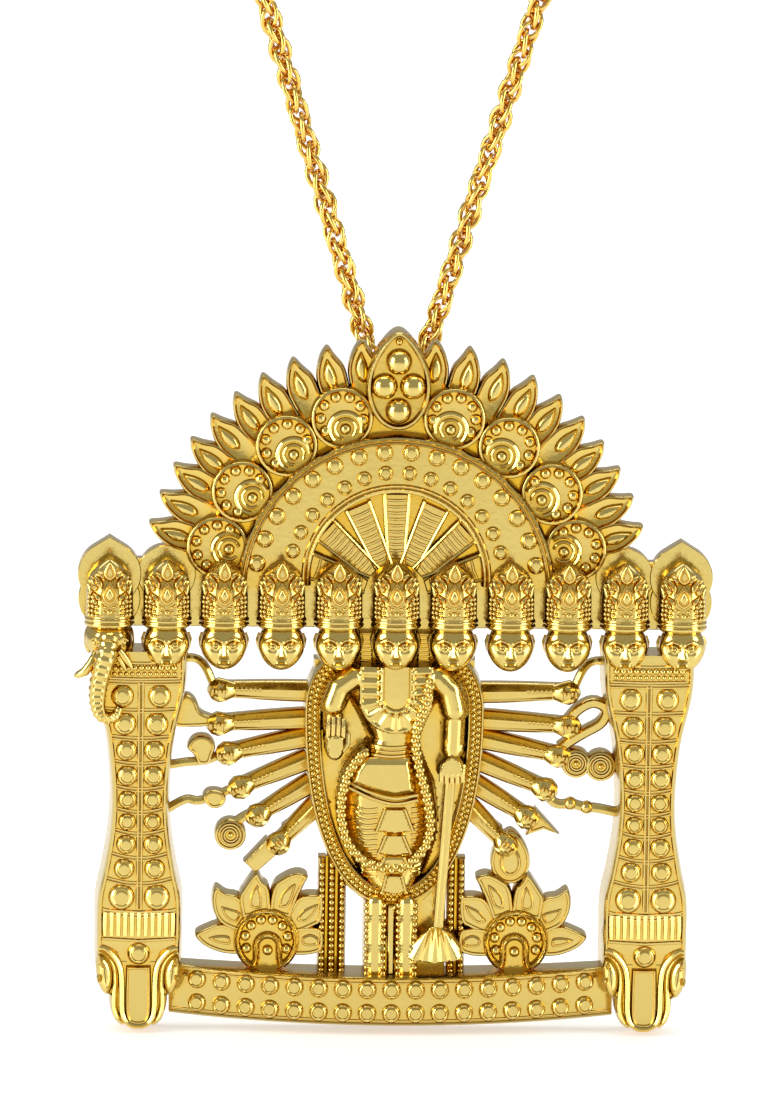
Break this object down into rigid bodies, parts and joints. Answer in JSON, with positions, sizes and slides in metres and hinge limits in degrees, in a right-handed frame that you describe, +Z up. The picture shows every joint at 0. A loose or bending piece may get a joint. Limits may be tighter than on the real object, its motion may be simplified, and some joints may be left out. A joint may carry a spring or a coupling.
{
  "type": "temple jewellery necklace",
  "caption": "Cast gold temple pendant, a crowned standing figure under a row of heads and a flame halo, hinged by its strap bail on a rope chain with a clasp at the nape.",
  "frame": {"origin": "The middle of the neck opening, which is the mount neck.", "axes": "+Z is up along the wearer's neck, -Y is the wearer's front where the pendant hangs, +X is to the right as seen from the front."},
  "size_m": [0.1196, 0.1211, 0.2357],
  "materials": {
    "pendant_gold": "polished gold plate over cast brass",
    "chain_gold": "bright gold plated rope chain"
  },
  "bodies": {
    "chain": {"chain_right": "chain_gold", "chain_left": "chain_gold", "ring_right": "chain_gold", "ring_left": "chain_gold", "clasp": "chain_gold"},
    "pendant": {"pendant": "pendant_gold"}
  },
  "joints": [
    {"name": "pendant_swing", "type": "hinge", "parent": "chain", "child": "pendant", "pos_m": [0, -0.06, -0.165], "axis": [1, 0, 0], "range_deg": [-10, 60]}
  ]
}
